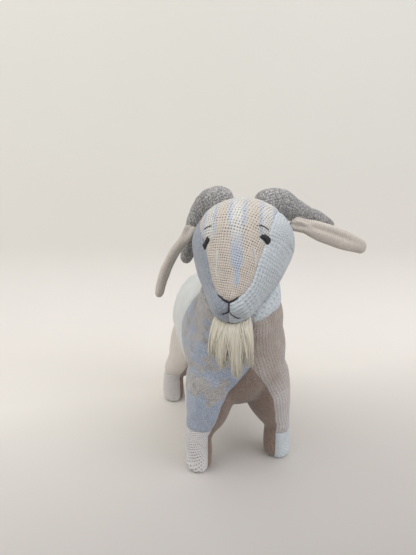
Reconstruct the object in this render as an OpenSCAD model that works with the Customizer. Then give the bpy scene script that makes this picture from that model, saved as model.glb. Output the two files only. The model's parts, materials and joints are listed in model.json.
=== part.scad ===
// Soft goat: a standing patchwork toy, sewn from pieces of knitwear and stuffed with fibre.
// It stands on its four hooves and faces -Y. +X is the goat's own left side.
// Every panel of cloth is a shell of its own, and the stuffing is packed inside as separate wads.

/* [Legs] */
// Front hooves to rear hooves, centre to centre
wheelbase = 141; // [120:1:170]
// Left hooves to right hooves, centre to centre
track = 87; // [76:1:96]
// Width of a hoof across the goat
hoof_w = 25; // [20:0.5:30]
// Length of a hoof along the goat
hoof_l = 27; // [24:0.5:34]
// Height of the seam where a hoof joins its leg
hoof_h = 40; // [30:1:48]

/* [Body] */
// Height of the back
back_h = 183; // [165:1:200]
// Height of the belly
belly_h = 61; // [52:1:74]
// Width of the barrel
barrel_w = 101; // [88:1:112]
// How far the chest and the rump reach past the hooves' centres
overhang = 27; // [20:1:34]
// Height of the point where the belly gusset starts, on the chest and on the rump
gusset_top = 119; // [100:1:126]
// Height of the seam between chest and leg
leg_seam_h = 88; // [78:1:98]
// Height of the seam round the neck
neck_seam_h = 166; // [156:1:176]

/* [Head] */
// Radius of the skull
skull_r = 47; // [40:0.5:52]
// Height of the middle of the skull
skull_h = 233; // [220:1:255]
// Radius of the muzzle
muzzle_r = 20; // [15:0.5:23]
// How far the muzzle lies in front of the skull's middle
muzzle_reach = 49; // [42:1:56]
// How far the muzzle lies below the skull's middle
muzzle_drop = 41; // [34:1:46]
// How far the head is turned to the goat's right as it is sewn
head_yaw = 27; // [0:1:35]
// How far the head turns either way on its neck
head_play = 15; // [5:1:20]
// Size of an embroidered eye
eye_size = 8; // [6:0.5:11]
// Thickness of the embroidery floss
floss_d = 1.5; // [1:0.1:2.2]

/* [Ears, horns, beard and tail] */
// Length of an ear
ear_l = 77; // [60:1:95]
// Width of an ear at its widest
ear_w = 19; // [14:0.5:24]
// Thickness of an ear
ear_t = 9; // [7:0.5:11]
// Radius of a horn at its root
horn_r = 12.5; // [9:0.5:14]
// Radius of a horn at its tip
horn_tip_r = 5.2; // [4:0.2:6.5]
// Length of the beard
beard_l = 50; // [45:1:70]
// Width of the beard
beard_w = 31; // [24:1:38]
// Length of the tail
tail_l = 34; // [26:1:46]

/* [Cloth] */
// Thickness of the knitted cloth
cloth_t = 2.2; // [1.6:0.1:3]
// Gap between neighbouring pieces
gap = 0.15; // [0.1:0.05:0.3]
// Clearance between pieces that move on each other
play = 0.6; // [0.4:0.1:1]

/* [Hidden] */

left = 1;
right = -1;
front = -1;
rear = 1;
big = 400;

// The middle of the bounding box, which the model is moved by so that its origin is there
box_shift = [-18, 3.4, 0];

// Places of the hooves, the skull and the ends of the barrel
hoof_x = track / 2;
hoof_y = wheelbase / 2;
end_y = hoof_y + overhang;
skull_at = [0, -hoof_y - 1, skull_h];
muzzle_at = [0, -muzzle_reach, -muzzle_drop];
barrel_mid = (back_h + belly_h) / 2;
barrel_b = (back_h - belly_h) / 2;

// ---- Soft forms -------------------------------------------------------------------------------

// A smooth curve through a list of stations, read at u from 0 to 1
function station(list, u) =
    let (n = len(list) - 1, s = min(max(u, 0), 0.99999) * n, i = floor(s), t = s - i,
         a = list[max(i - 1, 0)], b = list[i], c = list[i + 1], d = list[min(i + 2, n)])
    0.5 * (2 * b + (c - a) * t + (2 * a - 5 * b + 4 * c - d) * t * t + (3 * b - a - 3 * c + d) * t * t * t);

function place(v) = [v[0], v[1], v[2]];
function unit(v) = v / norm(v);
function run(list, i = 0) = i >= len(list) - 1 ? 0 : norm(place(list[i + 1]) - place(list[i])) + run(list, i + 1);

// How full a form is at a distance d from an end that is rounded over the length e, down to the share flat
function fullness(d, e, flat) = d >= e ? 1 : flat + (1 - flat) * sqrt(max(0, 1 - pow(1 - d / e, 2)));

// One ring of a form: points round the station at u, turned square to the curve
function ring(list, u, side, sides, fa, fb) =
    let (p = station(list, u), t = unit(place(station(list, u + 0.01) - station(list, u - 0.01))),
         n = unit(cross(t, side)), s = cross(n, t))
    [for (j = [0:sides - 1]) place(p) + fa * cos(360 * j / sides) * s + fb * sin(360 * j / sides) * n];

// A stuffed form along a curve. Each station is [x, y, z, half width along side, half width across it].
// round0 and round1 are the lengths over which the ends are rounded, and inset makes the form smaller all round.
module soft_form(list, side, round0, round1, flat0 = 0, flat1 = 0, sides = 20, rings = 13, inset = 0) {
    length = run(list);
    margin = inset / length;
    least = 0.5;
    us = [for (k = [0:rings]) margin + (1 - 2 * margin) * (1 - cos(180 * k / rings)) / 2];
    full = [for (u = us) min(fullness(length * u - inset, round0 - inset, flat0),
                             fullness(length * (1 - u) - inset, round1 - inset, flat1))];
    points = [for (k = [0:rings])
        let (p = station(list, us[k]))
        each ring(list, us[k], side, sides, max(least, (p[3] - inset) * full[k]), max(least, (p[4] - inset) * full[k]))];
    faces = [
        [for (j = [0:sides - 1]) j],
        for (k = [0:rings - 1], j = [0:sides - 1])
            let (a = k * sides + j, b = k * sides + (j + 1) % sides)
            each [[a, a + sides, b + sides], [a, b + sides, b]],
        [for (j = [sides - 1:-1:0]) rings * sides + j],
    ];
    polyhedron(points, faces);
}

// Joins its children into one mesh, as one piece of cloth or one wad
module in_one_piece() resize([0, 0, 0]) children();

module mirrored(hand) scale([hand, 1, 1]) children();

// ---- Body -------------------------------------------------------------------------------------

module barrel_form(inset = 0) {
    a = barrel_w / 2;
    soft_form([
        [0, -end_y, barrel_mid + 8, a * 0.9, barrel_b * 0.84],
        [0, -hoof_y * 0.8, barrel_mid + 2, a, barrel_b * 0.99],
        [0, 0, barrel_mid - 1, a * 0.93, barrel_b],
        [0, hoof_y * 0.75, barrel_mid - 3, a * 0.87, barrel_b * 0.99],
        [0, end_y, barrel_mid + 2, a * 0.78, barrel_b * 0.82],
    ], [1, 0, 0], 46, 46, sides = 24, rings = 13, inset = inset);
}

module neck_form(inset = 0) {
    r = skull_r * 0.74;
    soft_form([
        [0, -hoof_y + 14, back_h - 60, r * 1.2, r * 1.15],
        [0, -hoof_y + 6, back_h - 25, r * 1.22, r * 1.12],
        [0, skull_at[1] + 2, back_h + 4, r * 1.06, r],
        [0, skull_at[1], skull_h - 20, r * 0.86, r * 0.86],
    ], [1, 0, 0], 12, 8, sides = 24, rings = 9, inset = inset);
}

module leg_form(end, inset = 0) {
    thigh = end == front ? 1 : 1.12;
    outer = hoof_x + hoof_w / 2 + 0.5;
    tuck = end == front ? [6, 2.5, 0.5, 0, 0, 0, 0] : [15, 12, 7, 2, 0, 0, 0];
    a = [24.5, 25, 20.5, 16, hoof_w / 2, hoof_w / 2 + 0.6, hoof_w / 2];
    b = [36 * thigh, 33 * thigh, 25 * thigh, 17, hoof_l / 2, hoof_l / 2 + 0.8, hoof_l / 2];
    z = [barrel_mid + 8, barrel_mid - 34, belly_h - 2, hoof_h + 7, hoof_h - 5, hoof_h * 0.35, 0];
    lean = [-0.16, -0.1, -0.05, -0.02, 0, 0, 0];
    middle = [for (i = [0:len(z) - 1]) i < 4 ? outer - tuck[i] - a[i] : hoof_x];
    soft_form([for (i = [0:len(z) - 1]) [middle[i], end * hoof_y * (1 + lean[i]), z[i], a[i], b[i]]],
              [1, 0, 0], 26, 9, flat1 = 0.62, sides = 16, rings = 13, inset = inset);
}

module all_legs(inset = 0) {
    for (hand = [left, right], end = [front, rear])
        mirrored(hand) leg_form(end, inset);
}

// The room that the head and its muzzle need as the head turns
module head_clearance() {
    for (turn = [-1:0.5:1])
        translate(skull_at) rotate([0, 0, turn * head_play - head_yaw - face_turn]) head_form(-play - 0.3, 24);
}

// The whole body's outside, or its inside when inset
module body_form(inset = 0) {
    barrel_form(inset);
    neck_form(inset);
    all_legs(inset);
}

module body_cloth() {
    difference() {
        body_form();
        body_form(cloth_t);
        head_clearance();
    }
}

// ---- Regions of the body that the panels are cut to ----------------------------------------------

module half(hand) translate([hand * (big / 2 + gap / 2), 0, 0]) cube(big, center = true);

// Seen from the front: the belly and the insides of the legs
module gusset_region(grow = 0) {
    knee = hoof_x - hoof_w * 0.25;
    outline = [[0, gusset_top], [6, gusset_top - 7], [14, gusset_top - 18], [21, gusset_top - 28],
               [knee - 10, belly_h + 18], [knee - 7, belly_h + 4], [knee - 3, belly_h - 13], [knee, hoof_h + 2], [knee, -1]];
    rotate([90, 0, 0]) linear_extrude(big, center = true)
        offset(delta = grow) polygon([for (p = outline) p, for (i = [len(outline) - 1:-1:1]) [-outline[i][0], outline[i][1]]]);
}

// Seen from the side: what lies in front of the shoulder seam
module fore_region(grow = 0) {
    outline = [[-big, big], [-big, -big], [-hoof_y + 4, -big], [-hoof_y + 4, hoof_h], [-hoof_y + 8, belly_h + 20],
               [-hoof_y + 22, belly_h + 34], [-hoof_y + 45, belly_h + 47], [-hoof_y + 59, belly_h + 61],
               [-hoof_y + 62, belly_h + 75], [-hoof_y + 59, belly_h + 90], [-hoof_y + 55, belly_h + 104],
               [-hoof_y + 56, back_h + 10], [-hoof_y + 56, big]];
    rotate([90, 0, 90]) linear_extrude(big, center = true) offset(delta = grow) polygon(outline);
}

// Seen from the side: what lies above the neck seam, which rises towards the back
module neck_region(grow = 0) {
    outline = [[-big, neck_seam_h - 4], [-end_y - 6, neck_seam_h - 0.5], [-end_y, neck_seam_h + 5.5], [-end_y + 7, neck_seam_h + 6.5],
               [-end_y + 14, neck_seam_h + 9], [-hoof_y, neck_seam_h + 13], [-hoof_y + 18, neck_seam_h + 17], [-hoof_y + 34, back_h + 4], [-hoof_y + 34, big], [-big, big]];
    rotate([90, 0, 90]) linear_extrude(big, center = true) offset(delta = grow) polygon(outline);
}

// Seen from the side: the hind leg below its seam, which is bowed over the thigh
module thigh_region(grow = 0) {
    outline = [[12, -1], [20, hoof_h], [26, belly_h + 8], [hoof_y - 22, leg_seam_h + 14], [hoof_y - 2, leg_seam_h + 22],
               [hoof_y + 16, leg_seam_h + 16], [big, leg_seam_h + 4], [big, -1]];
    rotate([90, 0, 90]) linear_extrude(big, center = true) offset(delta = grow) polygon(outline);
}

// The height of a hoof's seam: the patches on the two front legs end at different heights
function hoof_top(hand, end) = hoof_h * (end == front ? (hand == right ? 1.22 : 0.79) : 1);

module below(h) translate([0, 0, h - big / 2 - gap / 2]) cube(big, center = true);

module above(h) translate([0, 0, h + big / 2 + gap / 2]) cube(big, center = true);

module ends(end) translate([0, end * big / 2, 0]) cube(big, center = true);

// ---- Body panels ---------------------------------------------------------------------------------

module hoof(hand, end) {
    in_one_piece() difference() {
        intersection() {
            mirrored(hand) leg_form(end);
            below(hoof_top(hand, end));
            half(hand);
        }
        mirrored(hand) leg_form(end, cloth_t);
        gusset_region(gap);
    }
}

module chest(hand) {
    in_one_piece() difference() {
        intersection() {
            body_cloth();
            half(hand);
            fore_region();
            above(leg_seam_h);
        }
        gusset_region(gap);
        neck_region(gap);
    }
}

module front_leg(hand) {
    in_one_piece() difference() {
        intersection() {
            body_cloth();
            half(hand);
            fore_region();
            below(leg_seam_h);
            above(hoof_top(hand, front));
        }
        gusset_region(gap);
    }
}

module rear_leg(hand) {
    in_one_piece() difference() {
        intersection() {
            body_cloth();
            half(hand);
            thigh_region();
            above(hoof_h);
        }
        gusset_region(gap);
    }
}

module body_side(hand) {
    in_one_piece() difference() {
        intersection() {
            body_cloth();
            half(hand);
            for (end = [front, rear]) intersection() {
                above(hoof_top(hand, end));
                ends(end);
            }
        }
        fore_region(gap);
        gusset_region(gap);
        thigh_region(gap);
        neck_region(gap);
    }
}

module neck_panel(hand) {
    in_one_piece() intersection() {
        body_cloth();
        half(hand);
        neck_region();
    }
}

module belly_gusset() {
    in_one_piece() intersection() {
        body_cloth();
        gusset_region();
    }
}

// ---- Stuffing ------------------------------------------------------------------------------------

module torso_fill() {
    inside = cloth_t + gap;
    in_one_piece() difference() {
        union() {
            barrel_form(inside);
            neck_form(inside);
        }
        head_clearance();
    }
}

module leg_fill(hand, end) {
    in_one_piece() difference() {
        mirrored(hand) leg_form(end, cloth_t + gap);
        barrel_form(cloth_t);
        neck_form(cloth_t);
    }
}

// ---- Head ----------------------------------------------------------------------------------------

// The head's outside in its own frame, with the skull's middle at the origin
skull_flat = 0.88;

module head_form(inset = 0, detail = 28) {
    hull() {
        scale([1, 1, skull_flat]) sphere(skull_r - inset, $fn = detail);
        for (hand = [left, right])
            translate([hand * skull_r * 0.17, -skull_r * 0.3, -skull_r * 0.3]) sphere(skull_r * 0.7 - inset, $fn = detail);
        translate(muzzle_at) sphere(muzzle_r - inset, $fn = detail);
    }
}

module in_head_place() translate(skull_at) rotate([0, 0, -head_yaw]) children();

// The face is sewn on turned a little further than the crown with its horns and ears
module in_face_place() translate(skull_at) rotate([0, 0, -head_yaw - face_turn]) children();

face_turn = 2;

// The slope of the face, from the crown down to the nose
face_angle = atan2(muzzle_drop, muzzle_reach);
face_l = norm(muzzle_at);
face_scale = (face_l + muzzle_r * 0.5) / 73;

// Puts x across the face, y up the face from the nose to the crown, and z out of the face
module on_face() rotate([90 - face_angle, 0, 0]) children();

// The centre strip: it comes to a point at the nose, widens over the forehead and runs down the back of the head
module face_outline() {
    on_left = [[0, -72.5], [6.5, -69.5], [12, -63], [16.4, -56], [19, -47], [20.5, -38.5], [23.2, -27], [27.4, -15],
               [28.5, -5], [30, 5], [31, 16], [33, 30], [36, 60]];
    on_right = [[7, -68], [13.4, -62], [17.6, -52], [21.5, -41], [24, -32], [26.5, -25], [29.4, -18], [34, -9],
                [38, 0], [39, 12], [39, 30], [39, 60]];
    polygon(face_scale * [each on_left, for (i = [len(on_right) - 1:-1:0]) [-on_right[i][0], on_right[i][1]]]);
}

module face_region(grow = 0) {
    on_face() {
        linear_extrude(big) offset(delta = grow) face_outline();
        intersection() {
            translate([0, 0, -big / 2]) linear_extrude(big / 2 + 1) offset(delta = grow) intersection() {
                face_outline();
                translate([-big / 2, 2]) square(big);
            }
            rotate([face_angle - 90, 0, 0]) translate([-big / 2, 0, -big / 2]) cube(big);
        }
    }
}

module head_cloth() {
    difference() {
        head_form();
        head_form(cloth_t);
        translate([0, 0, -skull_r]) cylinder(skull_r, r = skull_r * 0.48, center = true, $fn = 24);
    }
}

module head_gusset() {
    in_one_piece() intersection() {
        head_cloth();
        face_region();
    }
}

module head_side(hand) {
    in_one_piece() difference() {
        intersection() {
            head_cloth();
            half(hand);
        }
        face_region(gap);
    }
}

module head_fill() in_one_piece() head_form(cloth_t + gap);

// ---- Embroidery ----------------------------------------------------------------------------------

// A line of stitches on the face, through points given in units of the face's own scale
module stitches(points, wide = floss_d) {
    for (i = [0:len(points) - 2])
        hull() for (p = [points[i], points[i + 1]]) translate(p * face_scale) circle(d = wide, $fn = 12);
}

// Floss laid on the cloth of the head, over the area of its children
module floss() {
    in_one_piece() intersection() {
        difference() {
            head_form(-gap - floss_d);
            head_form(-gap);
        }
        children();
    }
}

// Puts x across the muzzle, y up it and z out of its front
module on_front() translate([0, -muzzle_reach, 0]) rotate([90, 0, 0]) linear_extrude(big) children();

module eye(hand) {
    w = eye_size * 0.5;
    h = eye_size * 0.72;
    floss() on_face() linear_extrude(big) translate((hand == left ? [24.6, -18.2] : [-25.4, -21.5]) * face_scale)
        polygon([[0, h], [w * 0.8, h * 0.2], [w, -h * 0.15], [w * 0.3, -h], [-w * 0.3, -h], [-w, -h * 0.15], [-w * 0.8, h * 0.2]]);
}

module brow(hand) {
    line = hand == left ? [[18.1, -6.6], [22.6, -6.5], [27.1, -8]] : [[-21.2, -8], [-25.2, -7.8], [-29.4, -8.1]];
    floss() on_face() linear_extrude(big) stitches(line);
}

module nose_stitch() {
    floss() on_front() {
        stitches([[-10, -32.7], [-5.7, -34.8], [0.5, -37.1], [5, -34.9], [8.2, -32.6]], floss_d);
        // ends just short of the mouth
        stitches([[0.5, -37.1], [0.3, -46 + (floss_d + 2 * gap) / face_scale]], floss_d);
    }
}

module mouth_stitch() floss() on_front() stitches([[-5.9, -48.4], [-2.2, -47], [0.3, -46], [3.1, -48.3], [6.9, -51.4], [9.7, -51.6]]);

// ---- Ears and horns ------------------------------------------------------------------------------

// Middle of an ear's rolled root, just clear of the head, in the head's own frame
ear_root_r = 6;
ear_root = skull_r + ear_root_r + 2 * play;
ear_dir = [[-0.387, -0.181, -0.904], [0.889, 0.304, -0.34]];
ear_seat = [[-0.984, 0.043, 0.171], [0.926, 0.194, 0.322]];
ear_across = [[0, 0.98, -0.196], [0.254, 0.289, 0.922]];

module ear(hand) {
    i = hand == left ? 1 : 0;
    root = ear_seat[i] * ear_root;
    bend = cross(ear_dir[i], ear_across[i]) * (hand == left ? 2 : -4);
    a = ear_w / 2;
    b = ear_t / 2;
    soft_form([
        [each root - ear_dir[i] * ear_root_r, ear_root_r, ear_root_r],
        [each root + ear_dir[i] * ear_l * 0.1, a * 0.78, (ear_root_r + b) / 2],
        [each root + ear_dir[i] * ear_l * 0.36 + bend, a, b],
        [each root + ear_dir[i] * ear_l * 0.64 + bend, a * 0.95, b],
        [each root + ear_dir[i] * ear_l * 0.92, a * 0.62, b * 0.85],
    ], ear_across[i], ear_root_r, 5, flat1 = 0.3, sides = 14, rings = 13);
}

// Middles of the horns from root to tip, in the head's own frame: the left one is bent out by a crease
horn_line = [
    [[-16, 4, 36], [-29, 9, 39], [-42, 17, 29], [-52, 23, 10], [-58, 26, -9], [-64, 29, -27]],
    [[14, 8, 35], [30, 20, 37], [43, 32, 29], [55, 43, 23], [68, 53, 18], [84, 62, 10]],
];

module horn_form(hand, inset = 0) {
    line = horn_line[hand == left ? 1 : 0];
    thin = [1, 1, 0.8, 0.58, 0.42, 0];
    size = skull_r / 47;
    soft_form([for (i = [0:5])
        let (r = horn_tip_r + (horn_r - horn_tip_r) * thin[i])
        [each line[i] * size, r, r]], [0, 0.3, 0.954], 3, horn_tip_r * 1.5, flat0 = 0.8, flat1 = 0.25,
        sides = 14, rings = 15, inset = inset);
}

module horn(hand) {
    in_one_piece() difference() {
        horn_form(hand);
        horn_form(hand, cloth_t);
        head_form(-2 * gap, 32);
    }
}

module horn_fill(hand) {
    in_one_piece() difference() {
        horn_form(hand, cloth_t + gap);
        head_form(-2 * gap, 32);
    }
}

// ---- Beard and tail ------------------------------------------------------------------------------

// Middle of the beard's rolled root, under the chin, in the head's own frame
beard_root_r = 4.5;
beard_root = [1, -muzzle_reach - 8, -muzzle_drop - muzzle_r - beard_root_r + 1];

module lock(from, to, w, thick) {
    mid = (from + to) / 2 + [0, -thick * 0.25, 0];
    soft_form([
        [each beard_root + from, w * 0.8, beard_root_r],
        [each beard_root + from * 0.7 + mid * 0.3, w, thick],
        [each beard_root + mid, w * 0.85, thick],
        [each beard_root + to, w * 0.3, thick * 0.35],
    ], [1, 0, 0], 3, 12, flat0 = 0.7, flat1 = 0.25, sides = 10, rings = 8);
}

module beard() {
    l = beard_l - beard_root_r;
    in_one_piece() {
        lock([0, 0, 0], [0, 1, -l], beard_w * 0.4, 7);
        lock([-beard_w * 0.18, 0, 0], [-beard_w * 0.42, 0, -l * 0.82], beard_w * 0.27, 6);
        lock([-beard_w * 0.25, 0, 0], [-beard_w * 0.62, 0, -l * 0.6], beard_w * 0.2, 5);
        lock([beard_w * 0.2, 0, 0], [beard_w * 0.3, 0, -l * 0.72], beard_w * 0.27, 6);
    }
}

// Middle of the tail's rolled root, just clear of the slope of the rump
tail_root_r = 6;
rump_slope = 28;
tail_root = [0, end_y - 7.1, barrel_mid + barrel_b * 0.42] + (tail_root_r + play) * [0, cos(rump_slope), sin(rump_slope)];

module tail() {
    soft_form([
        [each tail_root, 8, tail_root_r],
        [each tail_root + [0, tail_l * 0.3, 4], 9, 6.5],
        [each tail_root + [0, tail_l * 0.62, 1], 7.5, 5.5],
        [each tail_root + [0, tail_l - 6, -9], 4, 3.5],
    ], [1, 0, 0], tail_root_r, 5, flat0 = 0.5, flat1 = 0.3, sides = 14, rings = 11);
}

translate(box_shift) color("#c6c8c4") body_side(left);  // body_side_left
translate(box_shift) color("#c6c8c4") body_side(right);  // body_side_right
translate(box_shift) color("#9a938d") chest(left);  // chest_left
translate(box_shift) color("#8e959c") chest(right);  // chest_right
translate(box_shift) color("#b4bcc2") neck_panel(left);  // neck_left
translate(box_shift) color("#9ea0a2") neck_panel(right);  // neck_right
translate(box_shift) color("#a6a19e") front_leg(left);  // front_leg_left
translate(box_shift) color("#8d94a0") front_leg(right);  // front_leg_right
translate(box_shift) color("#b7b0a7") rear_leg(left);  // rear_leg_left
translate(box_shift) color("#b7b0a7") rear_leg(right);  // rear_leg_right
translate(box_shift) color("#72625a") belly_gusset();
translate(box_shift) color("#b8bcc0") hoof(left, front);  // hoof_front_left
translate(box_shift) color("#b0abab") hoof(right, front);  // hoof_front_right
translate(box_shift) color("#a29e99") hoof(left, rear);  // hoof_rear_left
translate(box_shift) color("#a29e99") hoof(right, rear);  // hoof_rear_right
translate(box_shift) color("white") torso_fill();
translate(box_shift) color("white") leg_fill(left, front);  // leg_fill_front_left
translate(box_shift) color("white") leg_fill(right, front);  // leg_fill_front_right
translate(box_shift) color("white") leg_fill(left, rear);  // leg_fill_rear_left
translate(box_shift) color("white") leg_fill(right, rear);  // leg_fill_rear_right
translate(box_shift) in_face_place() color("#bab2a8") head_gusset();
translate(box_shift) in_face_place() color("#b9c0c4") head_side(left);  // head_side_left
translate(box_shift) in_face_place() color("#8f97a2") head_side(right);  // head_side_right
translate(box_shift) in_face_place() color("white") head_fill();
translate(box_shift) in_face_place() color("#262627") eye(left);  // eye_left
translate(box_shift) in_face_place() color("#262627") eye(right);  // eye_right
translate(box_shift) in_face_place() color("#262627") brow(left);  // brow_left
translate(box_shift) in_face_place() color("#262627") brow(right);  // brow_right
translate(box_shift) in_face_place() color("#262627") nose_stitch();
translate(box_shift) in_face_place() color("#262627") mouth_stitch();
translate(box_shift) in_head_place() color("#bdb6ad") ear(left);  // ear_left
translate(box_shift) in_head_place() color("#bdb6ad") ear(right);  // ear_right
translate(box_shift) in_head_place() color("#9a9896") horn(left);  // horn_left
translate(box_shift) in_head_place() color("#9a9896") horn(right);  // horn_right
translate(box_shift) in_head_place() color("white") horn_fill(left);  // horn_fill_left
translate(box_shift) in_head_place() color("white") horn_fill(right);  // horn_fill_right
translate(box_shift) in_head_place() color("#bcb7a3") beard();
translate(box_shift) color("#b7b0a7") tail();
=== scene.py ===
"""A soft goat sewn from patches of knitwear, with rolled ears, curved horns, a pile beard and a floss
face."""

import json
import math
import random

import bmesh
import bpy
import numpy as np
from mathutils import Matrix, Vector, noise
from mathutils.bvhtree import BVHTree
from mathutils.kdtree import KDTree


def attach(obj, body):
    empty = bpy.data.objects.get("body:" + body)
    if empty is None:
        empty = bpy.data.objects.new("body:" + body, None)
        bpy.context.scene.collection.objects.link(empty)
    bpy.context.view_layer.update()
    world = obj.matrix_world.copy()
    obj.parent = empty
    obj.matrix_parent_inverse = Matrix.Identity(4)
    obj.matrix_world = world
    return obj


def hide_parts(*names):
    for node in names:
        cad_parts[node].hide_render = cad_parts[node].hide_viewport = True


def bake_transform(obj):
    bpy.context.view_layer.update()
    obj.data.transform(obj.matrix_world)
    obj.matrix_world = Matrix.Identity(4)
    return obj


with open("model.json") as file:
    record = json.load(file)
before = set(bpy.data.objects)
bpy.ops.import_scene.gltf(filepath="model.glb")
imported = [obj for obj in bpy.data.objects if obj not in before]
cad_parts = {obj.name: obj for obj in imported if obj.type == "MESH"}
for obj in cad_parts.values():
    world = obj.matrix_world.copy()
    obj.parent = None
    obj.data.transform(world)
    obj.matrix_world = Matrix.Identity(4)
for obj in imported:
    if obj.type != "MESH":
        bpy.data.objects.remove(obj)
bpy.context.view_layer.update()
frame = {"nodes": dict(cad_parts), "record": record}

MM = 0.001

# The goat's own places, in the row frame: the middle of its body on the floor, and the middle of its skull
GOAT = Vector((-18, 3.4, 0)) * MM
SKULL = GOAT + Vector((0, -71.5, 233)) * MM
SKULL_R = 47 * MM
HEAD_YAW = math.radians(-27)
FACE_YAW = math.radians(-29)
FACE_SLOPE = math.atan2(41, 49)

# head_to_row is for the horns, ears and beard. The face is sewn on turned a little further: muzzle_to_row
# has its axes, and face_to_row has x across the slope of the face, y up it and z out of it
head_to_row = Matrix.Translation(SKULL) @ Matrix.Rotation(HEAD_YAW, 4, "Z")
muzzle_to_row = Matrix.Translation(SKULL) @ Matrix.Rotation(FACE_YAW, 4, "Z")
face_to_row = muzzle_to_row @ Matrix.Rotation(math.pi / 2 - FACE_SLOPE, 4, "X")


# ---- Camera, light and floor -------------------------------------------------------------------

PICTURE_H = 555
FOCAL = 417 / PICTURE_H
CAMERA_AT = GOAT + Vector((-132, -435, 296)) * MM
CAMERA_LOOKS = Vector((0.2523, 0.9344, -0.2419))

camera = bpy.data.objects.new("camera", bpy.data.cameras.new("camera"))
bpy.context.scene.collection.objects.link(camera)
camera.location = CAMERA_AT
camera.rotation_euler = CAMERA_LOOKS.to_track_quat("-Z", "Y").to_euler()
camera.data.sensor_width = 36
camera.data.lens = 36 * FOCAL
camera.data.clip_start = 0.01
bpy.context.scene.camera = camera


def srgb(code):
    """A hex colour as linear red, green, blue and alpha."""
    parts = [int(code[i : i + 2], 16) / 255 for i in (1, 3, 5)]
    return tuple(c / 12.92 if c <= 0.04045 else ((c + 0.055) / 1.055) ** 2.4 for c in parts) + (1.0,)


def add(tree, kind, *values, **settings):
    """Adds a shader node. Values go to its inputs in order: a node or socket is linked, None leaves the
    input alone. A setting that names an input, with _ for a space, sets or links that input."""
    made = tree.nodes.new("ShaderNode" + kind)
    inputs = {}
    for key, value in settings.items():
        if hasattr(made, key):
            setattr(made, key, value)
        else:
            inputs[key.replace("_", " ")] = value
    for key, value in list(enumerate(values)) + list(inputs.items()):
        if value is None:
            continue
        if isinstance(value, bpy.types.Node):
            value = value.outputs[0]
        if isinstance(value, bpy.types.NodeSocket):
            tree.links.new(value, made.inputs[key])
        else:
            made.inputs[key].default_value = value
    return made


def new_material(name):
    made = bpy.data.materials.new(name)
    made.use_nodes = True
    made.node_tree.nodes.clear()
    return made, made.node_tree


def object_from(bm, name, materials=(), smooth=True):
    """A finished bmesh as an object at the origin."""
    mesh = bpy.data.meshes.new(name)
    bm.to_mesh(mesh)
    bm.free()
    made = bpy.data.objects.new(name, mesh)
    bpy.context.scene.collection.objects.link(made)
    for m in materials:
        mesh.materials.append(m)
    if smooth:
        mesh.shade_smooth()
    return made


def paper():
    """Matt background paper: no gloss, painted greyer towards the front as shade where less light reaches it,
    and only a very slight mottle.
    """
    made, tree = new_material("background paper")
    place = add(tree, "TexCoord").outputs["Object"]
    split = add(tree, "SeparateXYZ", place)
    # painted shade: the floor's colour darkens towards the front, down to #8e8a88, as the light falls off
    back = add(tree, "MapRange", split.outputs[1], -0.42, 0.1, 0.0, 1.0)
    wall = add(tree, "MapRange", split.outputs[2], 0.0, 0.35, 0.0, 1.0)
    floor = add(tree, "Mix", back, data_type="RGBA", A=srgb("#8e8a88"), B=srgb("#e2ded8"))
    whole = add(tree, "Mix", wall, data_type="RGBA", A=floor.outputs["Result"], B=srgb("#e3e1d9"))
    mottle = add(tree, "TexNoise", place, Scale=3.0, Detail=3.0)
    shade = add(tree, "MapRange", mottle, 0.3, 0.7, 0.985, 1.015)
    tint = add(tree, "VectorMath", whole.outputs["Result"], operation="SCALE", Scale=shade)
    surface = add(tree, "BsdfPrincipled", Base_Color=tint, Roughness=0.95)
    surface.inputs["Specular IOR Level"].default_value = 0.1
    add(tree, "OutputMaterial", surface)
    return made


def sweep_of_paper():
    """The floor and the wall behind, one sheet bent up in a wide curve."""
    wall_y, bend = 0.34, 0.16
    profile = [(-1.6, 0.0), (wall_y - bend, 0.0)]
    profile += [
        (wall_y - bend + bend * math.sin(a), bend - bend * math.cos(a))
        for a in (math.radians(90 * i / 16) for i in range(1, 17))
    ]
    profile += [(wall_y, 2.2)]
    bm = bmesh.new()
    line = [bm.verts.new((-2.2, y, z)) for y, z in profile]
    edges = [bm.edges.new(pair) for pair in zip(line, line[1:])]
    grown = bmesh.ops.extrude_edge_only(bm, edges=edges)["geom"]
    bmesh.ops.translate(bm, verts=[g for g in grown if isinstance(g, bmesh.types.BMVert)], vec=(4.4, 0, 0))
    bmesh.ops.recalc_face_normals(bm, faces=bm.faces)
    bmesh.ops.rotate(bm, verts=bm.verts, cent=(0, 0, 0), matrix=Matrix.Rotation(math.radians(-15), 3, "Z"))
    return object_from(bm, "paper_sweep", [paper()])


sweep_of_paper()


def area_light(name, at, towards, size, watts, colour):
    data = bpy.data.lights.new(name, "AREA")
    data.shape = "DISK"
    data.size = size
    data.energy = watts
    data.color = srgb(colour)[:3]
    lamp = bpy.data.objects.new(name, data)
    bpy.context.scene.collection.objects.link(lamp)
    lamp.location = at
    lamp.rotation_euler = (Vector(towards) - Vector(at)).to_track_quat("-Z", "Y").to_euler()


area_light("window", (-0.8, -0.2, 1.3), (0, 0, 0.12), 0.9, 5.0, "#fffdf8")
area_light("room", (0.9, -0.8, 1.0), (0, 0, 0.12), 1.2, 5.8, "#f8f8ff")
area_light("ceiling", (0.15, 0.4, 1.5), (0, 0.1, 0), 1.4, 5, "#ffffff")

world = bpy.data.worlds.new("room light")
bpy.context.scene.world = world
world.use_nodes = True
world.node_tree.nodes["Background"].inputs[0].default_value = srgb("#f0f0f2")
world.node_tree.nodes["Background"].inputs[1].default_value = 0.9
bpy.context.scene.view_settings.view_transform = "Standard"


# ---- Cloth -------------------------------------------------------------------------------------


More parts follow.
